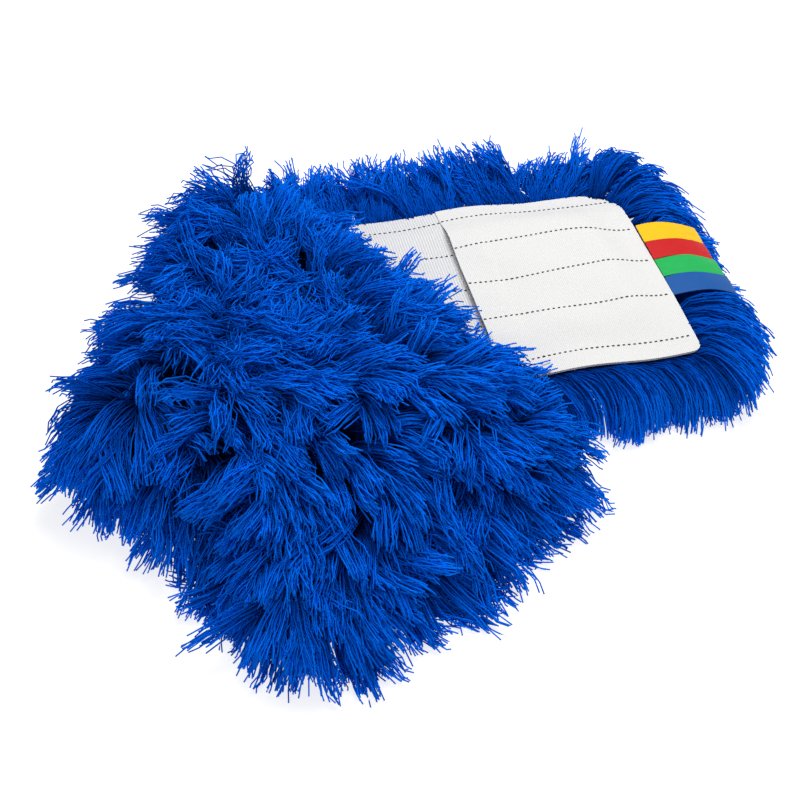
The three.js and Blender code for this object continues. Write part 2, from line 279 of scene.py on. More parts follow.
# %% Canvas and pocket cloth
def make_cloth(name, color, shade, rib, weft, depth, turn=0.0):
    finish, add, link = new_finish(name, color, 0.85, sheen=0.15, specular=0.2)
    where = add("ShaderNodeTexCoord").outputs["Object"]
    turned = add("ShaderNodeMapping",
                 {"Vector": where, "Rotation": (0, 0, turn)}).outputs["Vector"]
    split = add("ShaderNodeSeparateXYZ", {"Vector": turned})
    blur = add("ShaderNodeTexNoise", {"Vector": turned, "Scale": 60.0, "Detail": 2.0})
    slub = add("ShaderNodeTexNoise", {"Vector": turned, "Scale": 900.0, "Detail": 1.0})
    wander = calculate(add, "MULTIPLY", blur.outputs["Fac"], 1.6)
    threads = []
    for axis, pitch in (("X", rib), ("Y", weft)):
        per_metre = 2000 * math.pi / pitch  # the pitch is in millimetres
        phase = calculate(add, "MULTIPLY_ADD", split.outputs[axis], per_metre, wander)
        threads.append(calculate(add, "MULTIPLY_ADD", calculate(add, "SINE", phase), 0.5, 0.5))
    height = calculate(add, "MULTIPLY_ADD", threads[1], 0.35, threads[0])
    height = calculate(add, "MULTIPLY_ADD", slub.outputs["Fac"], 0.3, height)
    ramp = add("ShaderNodeMapRange", {"Value": height, 1: 0.0, 2: 1.2, 3: 0.0, 4: 1.0})
    # The low parts take the darker shade tone: painted shade in the grooves between the threads.
    tone = add("ShaderNodeMix", {"Factor": ramp.outputs[0], 6: (*shade, 1), 7: (*color, 1)},
               data_type="RGBA")
    link(tone.outputs[2], "Base Color")
    bump = add("ShaderNodeBump", {"Height": height, "Strength": 0.5, "Distance": depth})
    link(bump.outputs["Normal"], "Normal")
    return finish


CANVAS_LOOK = dict(color=(.745, .745, .745), shade=(.50, .50, .515), rib=1.7, weft=0.9,
                   depth=0.0004)
POCKET_LOOK = dict(color=(.74, .738, .728), shade=(.62, .616, .606), rib=1.1, weft=1.0,
                   depth=0.00015)
FOLDED_TURN = math.atan2(-FOLDED_U[1], FOLDED_U[0])
canvas_cloth = make_cloth("canvas_cloth", **CANVAS_LOOK)
folded_canvas = make_cloth("folded_canvas_cloth", **CANVAS_LOOK, turn=FOLDED_TURN)
pocket_cloth = make_cloth("pocket_cloth", **POCKET_LOOK)
folded_pocket = make_cloth("folded_pocket_cloth", **POCKET_LOOK, turn=FOLDED_TURN)

# %% [markdown]
# The yarn is soft, plied and royal blue. Its map holds eight tints side by side, and each
# strand takes one, so neighbours differ a little. Along a strand the colour runs from nearly black
# at the root to bright at the tip: painted shade deep among the locks and painted light on the
# tips. A slanting stripe stands for the twist of its plies.

# %% Yarn
TINTS = 8
yarn_finish, add, link = new_finish("blue_yarn", (.0, .06, .45), 0.7, sheen=0.1, specular=0.0)
yarn_shader = yarn_finish.node_tree.nodes["Principled BSDF"]
yarn_shader.inputs["Sheen Tint"].default_value = (.02, .3, 1, 1)
strand = add("ShaderNodeSeparateXYZ",
             {"Vector": add("ShaderNodeUVMap", uv_map="OFBake").outputs["UV"]}).outputs
around = calculate(add, "MULTIPLY", strand["X"], TINTS)
tint = add("ShaderNodeTexWhiteNoise", {"W": calculate(add, "FLOOR", around)},
           noise_dimensions="1D").outputs["Value"]
ply = calculate(add, "MULTIPLY_ADD", strand["Y"], 24.0, calculate(add, "MULTIPLY", around, 2.0))
ply = calculate(add, "MULTIPLY_ADD", calculate(add, "SINE", calculate(
    add, "MULTIPLY", ply, 2 * math.pi)), 0.5, 0.5)
# Painted shade and light along each strand: nearly black at the root, bright at the tip.
along = add("ShaderNodeValToRGB", {"Fac": strand["Y"]})
stops = along.color_ramp.elements
stops[0].position, stops[0].color = 0.0, (.0001, .003, .04, 1)
stops[1].position, stops[1].color = 1.0, (.0016, .16, .88, 1)
for position, color in ((0.3, (.0002, .012, .12, 1)), (0.6, (.0005, .07, .48, 1))):
    stops.new(position).color = color
bright = calculate(add, "MULTIPLY_ADD", tint, 0.5, 0.74)
bright = calculate(add, "MULTIPLY", bright, calculate(add, "MULTIPLY_ADD", ply, 0.25, 0.86))
shade = add("ShaderNodeVectorMath", {0: along.outputs["Color"], 3: bright}, operation="SCALE")
link(shade.outputs["Vector"], "Base Color")
link(add("ShaderNodeBump", {"Height": ply, "Strength": 0.4, "Distance": 0.0003}).outputs["Normal"],
     "Normal")
# The canvas where the yarn is sewn on: the yarn's blue painted nearly black, painted shade for the
# deep gaps between locks, with a fine mottle.
root_shade_finish, add, link = new_finish("yarn_roots_painted_shade", (.0002, .006, .06), 0.9, specular=0.0)
speckle(add, link, 400.0, (.0001, .003, .03), (.0004, .012, .11))

# %% [markdown]
# The sewing thread is dark grey, and the ribbons are satin: smooth, with very fine ribs across
# and a soft gloss along the weave.


# %% Thread and ribbons
def make_ribbon(name, color):
    finish, add, link = new_finish(name, color, 0.5, specular=0.2)
    where = add("ShaderNodeUVMap", uv_map="OFBake").outputs["UV"]
    ribs = add("ShaderNodeTexWave", {"Vector": where, "Scale": 60.0, "Distortion": 0.6,
                                     "Detail": 1.0}, bands_direction="X")
    mottle = add("ShaderNodeTexNoise", {"Vector": where, "Scale": 14.0, "Detail": 3.0})
    height = calculate(add, "MULTIPLY_ADD", ribs.outputs["Fac"], 0.5, mottle.outputs["Fac"])
    dark = tuple(0.82 * c for c in color)
    tone = add("ShaderNodeMix", {"Factor": height, 6: (*dark, 1), 7: (*color, 1)}, data_type="RGBA")
    link(tone.outputs[2], "Base Color")
    link(add("ShaderNodeBump", {"Height": ribs.outputs["Fac"], "Strength": 0.25,
                                "Distance": 0.0001}).outputs["Normal"], "Normal")
    return finish


thread_finish, add, link = new_finish("sewing_thread", (.05, .045, .05), 0.75, specular=0.2)
speckle(add, link, 350.0, (.02, .018, .022), (.13, .12, .125))
RIBBONS = {"yellow": (.90, .52, .004), "red": (.56, .009, .012), "green": (.012, .42, .09),
           "blue": (.006, .09, .34)}
ribbon_finish = {name: make_ribbon(f"ribbon_{name}", color) for name, color in RIBBONS.items()}
print("finishes:", [m.name for m in bpy.data.materials if m.users])

# %% [markdown]
# ## The cloth pieces
# The canvas isn't a flat board: it lies on springy yarn, so it rolls gently up and down by a
# millimetre or two. One function gives that height everywhere, and the backing, the pocket and
# the stitches all use it, so they stay in touch. Each piece is a grid of points on the middle of
# the cloth, and Solidify gives it its thickness.


# %% How the cloth lies
def sway(u, v):
    """The rise of the canvas over its flat height; nothing near the fold, where halves join."""
    roll = 1.1 * np.sin(u / 31 + 0.4) * np.cos(v / 52 + 0.5) + 0.8 * np.sin((u + 0.9 * v) / 19 + 2)
    edge = 0.9 * np.sin(u / 13 + np.sign(v)) * smooth((np.abs(v) - 50) / 30)
    from_fold = u * FOLD_LINE[1] - v * FOLD_LINE[0]
    sag = 4.8 * smooth((v - 52) / 28) + 4 * smooth((u - 215) / 50) * smooth((v - 30) / 50)
    return (roll + edge - sag) * smooth((from_fold - 4) / 30)


SEAM, END_SEAM = 13, 6  # from a side and from the end to where the pocket starts to lift
RISE = 26  # over which it does
PANEL_CLOTH = 0.5
PANEL_HEIGHT = BACKING_HEIGHT + (CANVAS + PANEL_CLOTH) / 2 + 0.15
PANEL_LIFT = 0.6 * np.ptp(node_points("lower_pocket_panel")[:, 2])
HEM, HEM_REACH = 19, 50  # the hem's width, and how far it goes to either side
HEM_DROP = 0.85  # from the pocket cloth down to its turned-in hem


def panel_height(half, u, v):
    """The middle of the pocket cloth: sewn down at its edges, lifted and creased between."""
    side = smooth((HALF_WIDTH - np.abs(v) - SEAM) / RISE)
    end = smooth((end_of(half, v) - u - END_SEAM) / RISE)
    crease = 0.9 * np.sin((u + 0.55 * v) / 9.5 + 1.2 * np.sin(v / 30)) * np.sin(v / 24 + 0.6)
    mouth = half["length"] - POCKET_DEPTH
    fold_over = 0.45 * (1 - smooth((u - mouth - HEM) / 1.6))
    return PANEL_HEIGHT + sway(u, v) + (PANEL_LIFT + 0.8 * crease + fold_over) * side * end


def finished(piece, smooth_angle=40):
    """Turns what the modifiers make into a plain mesh at the origin, shaded smooth."""
    made = bpy.data.meshes.new_from_object(
        piece.evaluated_get(bpy.context.evaluated_depsgraph_get()))
    made.name = piece.name
    piece.modifiers.clear()
    piece.data = made
    for face in made.polygons:
        face.use_smooth = True
    made.set_sharp_from_angle(angle=math.radians(smooth_angle))
    return piece


def grid_sheet(name, points, thickness, finish, flip=False, loop_map=None):
    """A sheet from a rows x columns x 3 grid of points on its middle."""
    rows, columns = points.shape[:2]
    corner = np.arange(rows * columns).reshape(rows, columns)
    faces = np.stack([corner[:-1, :-1], corner[1:, :-1], corner[1:, 1:], corner[:-1, 1:]], -1)
    faces = faces.reshape(-1, 4)
    piece = new_object(name, points.reshape(-1, 3), faces[:, ::-1] if flip else faces)
    if loop_map is not None:
        uv = piece.data.uv_layers.new(name="OFBake")
        index = np.zeros(len(piece.data.loops), int)
        piece.data.loops.foreach_get("vertex_index", index)
        uv.data.foreach_set("uv", loop_map.reshape(-1, 2)[index].ravel())
    for one in finish if isinstance(finish, list) else [finish]:
        piece.data.materials.append(one)
    shell = piece.modifiers.new("thickness", "SOLIDIFY")
    shell.thickness, shell.offset = thickness / 1000, 0
    return piece


# %% The two halves of the backing
ACROSS = np.concatenate([[-1, -.995, -.985, -.97], np.linspace(-.95, .95, 49),
                         [.97, .985, .995, 1]]) * HALF_WIDTH


def make_backing(half, finish):
    part = np.linspace(0, 1, 80)[:, None]
    v = ACROSS[None, :] + 0 * part
    u = start_of(v) + (end_of(half, v) - start_of(v)) * part
    points = half["point"](u, v, BACKING_HEIGHT + sway(u, v))
    piece = grid_sheet(f"{half['name']}_canvas", points, CANVAS, [finish, root_shade_finish],
                       flip=half is folded)
    finished(piece)
    # Faces on the yarn side take the painted-shade root finish.
    for face in piece.data.polygons:  # the yarn hides the folded half's rim as well
        yarn_side = face.normal.z < -0.7 if half is lower else face.normal.z > -0.7
        face.material_index = int(yarn_side)
    return piece


for half, finish in ((lower, canvas_cloth), (folded, folded_canvas)):
    canvas = make_backing(half, finish)
    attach(canvas, half["body"])
    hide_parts(f"{half['name']}_backing")
    half["canvas"] = canvas
    print(canvas.name, "triangles:", sum(len(f.vertices) - 2 for f in canvas.data.polygons))

# %% [markdown]
# The bend joins the halves. It is a half circle about the fold's hinge line.

# %% The canvas round the fold
BEND_RADIUS = HINGE_HEIGHT - BACKING_HEIGHT
FOLD_REACH = HALF_WIDTH / FOLD_LINE[1]
turn, run = np.meshgrid(np.linspace(-math.pi / 2, math.pi / 2, 25),
                        np.linspace(-FOLD_REACH, FOLD_REACH, 61))
out = -(BEND_RADIUS * np.cos(turn) - 0.6)[..., None] * FOLD_OUT
bend_points = np.concatenate([run[..., None] * FOLD_LINE + out,
                              (HINGE_HEIGHT + BEND_RADIUS * np.sin(turn))[..., None]], -1)
bend = finished(grid_sheet("fold_canvas", bend_points, CANVAS, [canvas_cloth, root_shade_finish]))
fold_way = Vector((*FOLD_LINE, 0))
# The outside faces take the painted-shade root finish.
for face in bend.data.polygons:  # the outside of the bend carries yarn, the inside is bare
    radial = face.center - Vector(CENTRE)
    radial -= fold_way * radial.dot(fold_way)
    face.material_index = int(face.normal.dot(radial) > 0)
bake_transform(bend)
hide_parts("fold_backing")


# %% [markdown]
# Each pocket is a second cloth sewn on at its sides and end, open towards the fold. Its mouth
# edge is turned under as a wide hem, which shows as a slight step across the cloth.


# %% Pockets and their hems
def make_pocket(half, finish):
    mouth = half["length"] - POCKET_DEPTH
    part = np.linspace(0, 1, 70)[:, None]
    v = ACROSS[None, :] + 0 * part
    u = np.maximum(mouth, start_of(v) + 1)
    u = u + (end_of(half, v) + 0.4 - u) * part
    points = half["point"](u, v, panel_height(half, u, v))
    cloth = grid_sheet(f"{half['name']}_pocket", points, PANEL_CLOTH, finish, flip=half is folded)
    reach = np.linspace(-1, 1, 45)[None, :] * HEM_REACH
    part = np.linspace(0, 1, 13)[:, None]
    u = mouth + 0.4 + HEM * part + 0 * reach
    points = half["point"](u, reach + 0 * part, panel_height(half, u, reach) - HEM_DROP)
    hem = grid_sheet(f"{half['name']}_hem", points, PANEL_CLOTH, finish, flip=half is folded)
    return finished(cloth), finished(hem)


for half, finish in ((lower, pocket_cloth), (folded, folded_pocket)):
    cloth, hem = make_pocket(half, finish)
    for piece, node in ((cloth, "pocket_panel"), (hem, "pocket_hem")):
        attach(piece, half["body"])
        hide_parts(f"{half['name']}_{node}")
    half["pocket"], half["hem"] = cloth, hem

# %% [markdown]
# ## Stitches
# Five rows of dark lockstitch hold the yarn. A stitch repeats hundreds of times, so Geometry
# Nodes make it: the row's path is resampled at the stitch pitch, and a small flattened bead of
# thread is set on every point, turned along the path.


# %% Helpers for geometry trees
def new_tree(name, sockets):
    """A geometry tree with a geometry input and output and the named inputs given."""
    tree = bpy.data.node_groups.new(name, "GeometryNodeTree")
    tree.interface.new_socket("Geometry", in_out="INPUT", socket_type="NodeSocketGeometry")
    for label, kind in sockets:
        tree.interface.new_socket(label, in_out="INPUT", socket_type=kind)
    tree.interface.new_socket("Geometry", in_out="OUTPUT", socket_type="NodeSocketGeometry")

    add = node_adder(tree)
    given = add("NodeGroupInput").outputs
    result = add("NodeGroupOutput")
    return tree, add, given, lambda socket: tree.links.new(socket, result.inputs[0])


def run_tree(piece, tree, values):
    """Adds the tree to a piece, sets its inputs by identifier and makes the result its mesh."""
    modifier = piece.modifiers.new(tree.name, "NODES")
    modifier.node_group = tree
    for item in tree.interface.items_tree:
        if item.in_out == "INPUT" and item.name in values:
            modifier[item.identifier] = values[item.name]
    return finished(piece, smooth_angle=180)


def new_lines(name, lines):
    """A piece of edges only: one chain for each line of a lines x points x 3 array."""
    count, points = lines.shape[:2]
    piece = new_object(name, lines.reshape(-1, 3), [])
    index = np.arange(count * points).reshape(count, points)
    pairs = np.stack([index[:, :-1], index[:, 1:]], -1).reshape(-1, 2)
    piece.data.edges.add(len(pairs))
    piece.data.edges.foreach_set("vertices", pairs.ravel())
    return piece


# %% The stitch tree
stitch_tree, add, given, end = new_tree("row_of_stitches", [
    ("Pitch", "NodeSocketFloat"), ("Length", "NodeSocketFloat"), ("Width", "NodeSocketFloat"),
    ("Height", "NodeSocketFloat"), ("Thread", "NodeSocketMaterial")])
path = add("GeometryNodeMeshToCurve", {"Mesh": given["Geometry"]})
path = add("GeometryNodeResampleCurve", {"Curve": path.outputs[0], "Length": given["Pitch"]},
           mode="LENGTH")
bead = add("GeometryNodeMeshUVSphere", {"Segments": 6, "Rings": 4, "Radius": 0.5})
size = add("ShaderNodeCombineXYZ",
           {"X": given["Height"], "Y": given["Width"], "Z": given["Length"]})
jitter = add("FunctionNodeRandomValue", {2: 0.85, 3: 1.1, "Seed": 4}, data_type="FLOAT")
size = add("ShaderNodeVectorMath", {0: size.outputs[0], 3: jitter.outputs[1]}, operation="SCALE")
aim = add("FunctionNodeAlignRotationToVector",
          {"Vector": add("GeometryNodeInputTangent").outputs[0]}, axis="Z", pivot_axis="AUTO")
set_out = add("GeometryNodeInstanceOnPoints", {
    "Points": path.outputs[0], "Instance": bead.outputs[0], "Rotation": aim.outputs[0],
    "Scale": size.outputs[0]})
solid = add("GeometryNodeRealizeInstances", {"Geometry": set_out.outputs[0]})
solid = add("GeometryNodeSetMaterial", {"Geometry": solid.outputs[0], "Material": given["Thread"]})
end(solid.outputs[0])

# %% Every row of stitches, on the canvas and on the pockets
ROWS = 5
ROW_PITCH = 2 * (HALF_WIDTH - SEAM) / (ROWS - 1)
STITCH = dict(Pitch=.0031, Length=.0019, Width=.0011, Height=.0009, Thread=thread_finish)
THREAD_RISE = 0.15  # of the thread's middle over the cloth


def on_canvas(half, u, v):
    return BACKING_HEIGHT + CANVAS / 2 + THREAD_RISE + sway(u, v)


def on_pocket(half, u, v):
    return PANEL_CLOTH / 2 + THREAD_RISE + panel_height(half, u, v)


def stitch_row(half, name, node, first, last, centre, height):
    u = np.linspace(first, last, 60)
    v = centre + 0.7 * np.sin(u / 17 + centre) + 0.5 * np.sin(u / 41 + 2 * centre)
    piece = new_lines(name, half["point"](u, v, height(half, u, v))[None])
    run_tree(piece, stitch_tree, STITCH)
    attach(piece, half["body"])
    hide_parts(node)


for half in (lower, folded):
    mouth = half["length"] - POCKET_DEPTH
    for row in range(ROWS):
        centre = (row - (ROWS - 1) / 2) * ROW_PITCH
        label = f"{half['name']}_{{}}_{row + 1}"
        last = float(end_of(half, centre)) - 4
        begin = float(start_of(centre)) + 4
        stitch_row(half, label.format("canvas_stitches"), label.format("stitch_row"),
                   begin, mouth - 1, centre, on_canvas)
        stitch_row(half, label.format("pocket_stitches"), label.format("pocket_stitch"),
                   max(mouth + 1.5, begin), last, centre, on_pocket)
print("stitch rows made:", 4 * ROWS)

# %% [markdown]
# ## Ribbon tags
# Each tag is a strip of satin ribbon, folded double and sewn in at the end of the sleeve. It
# leaves level, arches a little and then droops. The loop is drawn as one path, out along the
# underside and back along the top, and swept across the ribbon's width.

# %% Four ribbons
TAG_WIDTH, RIBBON = 16.2, 0.32
TAG_LENGTHS = {"yellow": 39, "red": 39, "green": 40, "blue": 41}
TAG_STEPS, TAG_GAP = 22, 0.22  # points along each layer, and half the distance between layers
for name in RIBBONS:
    tag = node_points(f"tag_{name}")
    across = (tag[:, 1].min() + tag[:, 1].max()) / 2
    root, top = tag[:, 0].min(), tag[:, 2].max()
    length = TAG_LENGTHS[name]
    one_way = np.linspace(0, 1, TAG_STEPS)
    part = np.concatenate([one_way, [1.006], np.linspace(1, 0, TAG_STEPS)])
    layer = np.repeat([-TAG_GAP, 0, TAG_GAP], [TAG_STEPS, 1, TAG_STEPS])
    wide = np.linspace(-1, 1, 9)
    arch = top - 0.6 + 2.0 * np.sin(math.pi * part) - 7.5 * part**2 + layer
    fan = across * (1 - 0.05 * part)
    grid = np.stack([
        root + length * part[:, None] + 0 * wide,
        fan[:, None] + wide * TAG_WIDTH / 2 * (1 + 0.03 * part[:, None]),
        arch[:, None] - 0.5 * (wide**2) * part[:, None]
        + 0.25 * np.sin(7 * part[:, None] + across) * wide], -1)
    flat_map = np.stack([np.linspace(0.02, 0.98, len(part))[:, None] + 0 * wide,
                         0 * part[:, None] + 0.5 + 0.17 * wide], -1)
    piece = finished(grid_sheet(f"{name}_tag", grid, RIBBON, ribbon_finish[name], flip=True,
                                loop_map=flat_map))
    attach(piece, f"tag_{name}")
    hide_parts(f"tag_{name}")
print("tags made:", list(RIBBONS))

# %% [markdown]
# ## Yarn
# The yarn is what this object is. On the real sleeve it is cut into strands about 65 mm long
# that hang together in locks. Each lock gets one guide line, grown step by step from its root:
# it leaves the canvas steeply, turns with its neighbours, and droops by its own weight until it
# meets the floor or the cloth below. A geometry tree then lays 10 to 22 strands along each guide.


# %% Growing the guides
def drift(x, y, size, seed):
    """A smooth random field, mostly between -1 and 1, whose hills are about size mm across."""
    waves = np.random.default_rng(seed)
    total = 0
    for _ in range(6):
        angle, phase = waves.uniform(0, 2 * math.pi, 2)
        pitch = size * waves.uniform(0.7, 1.6)
        total = total + np.sin(2 * math.pi * (x * math.cos(angle) + y * math.sin(angle)) / pitch
                               + phase)
    return total / 3


YARN_CEILING = 92.5  # no strand rises above this


def under(x, y):
    """What a strand comes to rest on: the floor, or the lower half where it lies above it."""
    beyond = np.maximum(np.abs(y) - HALF_WIDTH, np.maximum(x - LOWER_LENGTH, 0))
    from_fold = x * FOLD_LINE[1] - y * FOLD_LINE[0]
    mouth = LOWER_LENGTH - POCKET_DEPTH
    pocket = PANEL_LIFT * smooth((HALF_WIDTH - 8 - np.abs(y)) / RISE) * smooth((x - mouth + 2) / 3)
    top = (BACKING_HEIGHT + 3 + pocket) * (1 - smooth(beyond / 26))
    return 1.0 + top * smooth((from_fold + 5) / 5)


def under_folded(x, y):
    """The same for the folded half's yarn, which its own canvas holds up as far as its edges."""
    u, v = x * FOLDED_U[0] + y * FOLDED_U[1], x * FOLDED_V[0] + y * FOLDED_V[1]
    from_fold = x * FOLD_LINE[1] - y * FOLD_LINE[0]
    reach = HALF_WIDTH + np.where((from_fold < 0) & (v < 0), 35, 5)
    inside = smooth((reach - np.abs(v)) / 7) * smooth((FOLDED_LENGTH + 5 - u) / 7)
    top = 2 * HINGE_HEIGHT - BACKING_HEIGHT + CANVAS / 2 + 4.5 - hang(u, v) - sway(u, v)
    return np.maximum(under(x, y), top * inside)


def floor_only(x, y):
    """The same for a strand that nothing but the floor can stop."""
    return 1.0 + 0 * x


def grow(roots, heading, lift, droop, length, turn, bend, rest_on, ease=0.8, steps=8):
    """One guide from each root. Angles are in degrees: lift and droop are the slopes at both ends,
    turn is the whole change of heading, and bend a swing to one side and back."""
    here, line = roots.copy(), [roots.copy()]
    heading = np.radians(heading)
    for step in range(steps):
        part = (step + 0.5) / steps
        slope = np.radians(lift + (droop - lift) * part**ease)
        heading = heading + np.radians(turn + 5 * bend * math.cos(2 * math.pi * part)) / steps
        stride = length / steps
        level = np.cos(slope)
        height = here[:, 2] + stride * np.sin(slope)
        floor_height = rest_on(here[:, 0], here[:, 1])
        level = np.where(height < floor_height, np.maximum(level, 0.6), level)
        here = np.stack([here[:, 0] + stride * level * np.cos(heading),
                         here[:, 1] + stride * level * np.sin(heading), height], 1)
        lowest = rest_on(here[:, 0], here[:, 1])
        here[:, 2] = np.clip(here[:, 2], lowest, YARN_CEILING)
        line.append(here.copy())
    return np.stack(line, 1)


def gather(points, size, seed, pull=0.3):
    """Draws 2-D roots together into tufts; returns the roots and the number of each one's tuft."""
    rng = np.random.default_rng(seed)
    low, high = points.min(0), points.max(0)
    count = max(4, int(np.prod(high - low) / size**2))
    centres = low + rng.random((count, 2)) * (high - low)
    tuft = ((points[:, None] - centres[None]) ** 2).sum(2).argmin(1)
    return points + (centres[tuft] - points) * pull, tuft


# %% [markdown]
# The strand tree takes the guides as a mesh of edges. It makes curves of them, duplicates each
# curve, moves every copy sideways by its own random vector, adds a slow waviness, trims the tips
# to uneven lengths and sweeps a three-sided profile. Its map has the tint and the way round in
# one direction, and the way along in the other.

# %% The strand tree
yarn_tree, add, given, end = new_tree("locks_of_yarn", [
    ("Thickness", "NodeSocketFloat"), ("Yarn", "NodeSocketMaterial"), ("Seed", "NodeSocketInt"),
    ("Root shade skip", "NodeSocketFloat")])


def named(name, kind="FLOAT"):
    return add("GeometryNodeInputNamedAttribute", {"Name": name}, data_type=kind).outputs[0]


def per_strand(socket, kind="FLOAT"):
    return add("GeometryNodeFieldOnDomain", {0: socket}, domain="CURVE", data_type=kind).outputs[0]


def chance(low, high, salt, kind="FLOAT"):
    seed = add("ShaderNodeMath", {0: given["Seed"], 1: float(salt)}, operation="ADD").outputs[0]
    first, out = {"FLOAT": (2, 1), "FLOAT_VECTOR": (0, 0)}[kind]
    node = add("FunctionNodeRandomValue", {first: low, first + 1: high, "Seed": seed,
                                           "ID": add("GeometryNodeInputIndex").outputs[0]},
               data_type=kind)
    return per_strand(node.outputs[out], kind)


def scaled(vector, factor):
    return add("ShaderNodeVectorMath", {0: vector, 3: factor}, operation="SCALE").outputs[0]


def sum_of(first, second):
    return add("ShaderNodeVectorMath", {0: first, 1: second}, operation="ADD").outputs[0]


curves = add("GeometryNodeMeshToCurve", {"Mesh": given["Geometry"]}).outputs[0]
curves = add("GeometryNodeDuplicateElements",
             {"Geometry": curves, "Amount": named("strands", "INT")}, domain="SPLINE").outputs[0]
part = add("GeometryNodeSplineParameter").outputs["Factor"]
swell = add("ShaderNodeFloatCurve", {"Value": part})
shape = swell.mapping.curves[0].points
shape[0].location, shape[1].location = (0, 0.25), (1, 1.0)
shape.new(0.5, 0.7)
aside = chance((-1, -1, -.7), (1, 1, .7), 1, "FLOAT_VECTOR")
aside = scaled(scaled(aside, named("spread")), swell.outputs[0])
tangent = add("GeometryNodeInputTangent").outputs[0]
forward = add("ShaderNodeVectorMath", {0: aside, 1: tangent},
              operation="DOT_PRODUCT").outputs["Value"]
aside = add("ShaderNodeVectorMath", {0: aside, 1: scaled(tangent, forward)},
            operation="SUBTRACT").outputs[0]
place_in_noise = sum_of(scaled(add("GeometryNodeInputPosition").outputs[0], 60.0),
                        chance((0, 0, 0), (9, 9, 9), 2, "FLOAT_VECTOR"))
wave = add("ShaderNodeTexNoise", {"Vector": place_in_noise, "Scale": 1.0, "Detail": 1.0})
wave = add("ShaderNodeVectorMath", {0: wave.outputs["Color"], 1: (.5, .5, .5)},
           operation="SUBTRACT").outputs[0]
wave = scaled(scaled(wave, named("curl")), part)
fine = add("ShaderNodeTexNoise",
           {"Vector": scaled(place_in_noise, 3.1), "Scale": 1.0, "Detail": 0.0})
fine = add("ShaderNodeVectorMath", {0: fine.outputs["Color"], 1: (.5, .5, .5)},
           operation="SUBTRACT").outputs[0]
wave = sum_of(wave, scaled(scaled(fine, named("curl")), 0.3))
curves = add("GeometryNodeSetPosition",
             {"Geometry": curves, "Offset": sum_of(aside, wave)}).outputs[0]
curves = add("GeometryNodeTrimCurve", {"Curve": curves, 3: chance(0.8, 1.0, 3)},
             mode="FACTOR").outputs[0]
curves = add("GeometryNodeSetCurveRadius",
             {"Curve": curves, "Radius": chance(0.75, 1.15, 4)}).outputs[0]
curves = add("GeometryNodeStoreNamedAttribute", {
    "Geometry": curves, "Name": "along",
    "Value": add("GeometryNodeSplineParameter").outputs["Factor"]},
    data_type="FLOAT", domain="POINT").outputs[0]
curves = add("GeometryNodeStoreNamedAttribute", {
    "Geometry": curves, "Name": "tint", "Value": chance(0, TINTS - 0.001, 5)},
    data_type="FLOAT", domain="POINT").outputs[0]
radius = add("ShaderNodeMath", {0: given["Thickness"], 1: 0.5}, operation="MULTIPLY").outputs[0]
ring = add("GeometryNodeCurvePrimitiveCircle", {"Resolution": 3, "Radius": radius}).outputs[0]
ring = add("GeometryNodeStoreNamedAttribute", {
    "Geometry": ring, "Name": "around",
    "Value": add("GeometryNodeSplineParameter").outputs["Factor"]},
    data_type="FLOAT", domain="POINT").outputs[0]
swept = add("GeometryNodeCurveToMesh", {"Curve": curves, "Profile Curve": ring, "Fill Caps": True})


def compute(operation, first, second=0.0):
    return add("ShaderNodeMath", {0: first, 1: second}, operation=operation).outputs[0]


face_mean = add("GeometryNodeFieldOnDomain", {0: named("around")}, domain="FACE",
                data_type="FLOAT").outputs[0]
past_seam = compute("GREATER_THAN", compute("SUBTRACT", face_mean, named("around")), 0.25)
way_round = compute("ADD", named("around"), past_seam)
across_map = compute("DIVIDE", compute("ADD", compute("FLOOR", named("tint")), way_round), TINTS)
# How much of the dark painted root shade each strand's map skips; fringes whose roots hide under
# the canvas skip more.
along_map = compute("ADD", given["Root shade skip"], compute(
    "MULTIPLY", named("along"), compute("SUBTRACT", 1.0, given["Root shade skip"])))
both = add("ShaderNodeCombineXYZ", {"X": across_map, "Y": along_map}).outputs[0]
mapped = add("GeometryNodeStoreNamedAttribute", {
    "Geometry": swept.outputs[0], "Name": "OFBake", "Value": both},
    data_type="FLOAT2", domain="CORNER").outputs[0]
mapped = add("GeometryNodeRealizeInstances", {"Geometry": mapped}).outputs[0]
end(add("GeometryNodeSetMaterial", {"Geometry": mapped, "Material": given["Yarn"]}).outputs[0])

# %% One piece of yarn from its guides
STRAND = 0.88  # a strand's thickness
total_triangles = 0


def make_yarn(name, node, guides, strands, spread, curl, seed, root_shade_skip=0.0):
    """Guides are an array of locks x points x 3; the other values are one per lock."""
    global total_triangles
    locks, count = guides.shape[:2]
    piece = new_lines(name, guides)
    for label, kind, values in (("strands", "INT", strands), ("spread", "FLOAT", spread / 1000),
                                ("curl", "FLOAT", curl / 1000)):
        whole = np.repeat(np.broadcast_to(values, (locks,)), count)
        layer = piece.data.attributes.new(label, kind, "POINT")
        layer.data.foreach_set("value", whole.astype(int if kind == "INT" else np.float32))
    run_tree(piece, yarn_tree, {"Thickness": STRAND / 1000, "Yarn": yarn_finish, "Seed": seed,
                                "Root shade skip": root_shade_skip})
    for label in ("along", "around", "tint", "strands", "spread", "curl"):
        if label in piece.data.attributes:
            piece.data.attributes.remove(piece.data.attributes[label])
    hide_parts(node)
    triangles = sum(len(face.vertices) - 2 for face in piece.data.polygons)
    total_triangles += triangles
    print(f"{name}: {locks} locks, {triangles} triangles")
    return piece


# %% [markdown]
# ### The folded half
# Seen from above, the yarn of the folded half parts at a crown near the fold and flows outwards
# from it on all sides, tuft over tuft. In the middle it swirls. The outer locks arch over the
# edge and fall to the floor, and those on the tags' side come to rest on the other half.

# %% Locks of the folded half
CROWN = np.array([13.0, -33.0])
rng = np.random.default_rng(11)


def outward(x, y):
    """The flow's heading in degrees, and how near a point is to the crown, from 0 to 1."""
    dx, dy = x - CROWN[0], y - CROWN[1]
    return np.degrees(np.arctan2(dy, dx)), 1 - smooth((np.hypot(dx, dy) - 20) / 70)


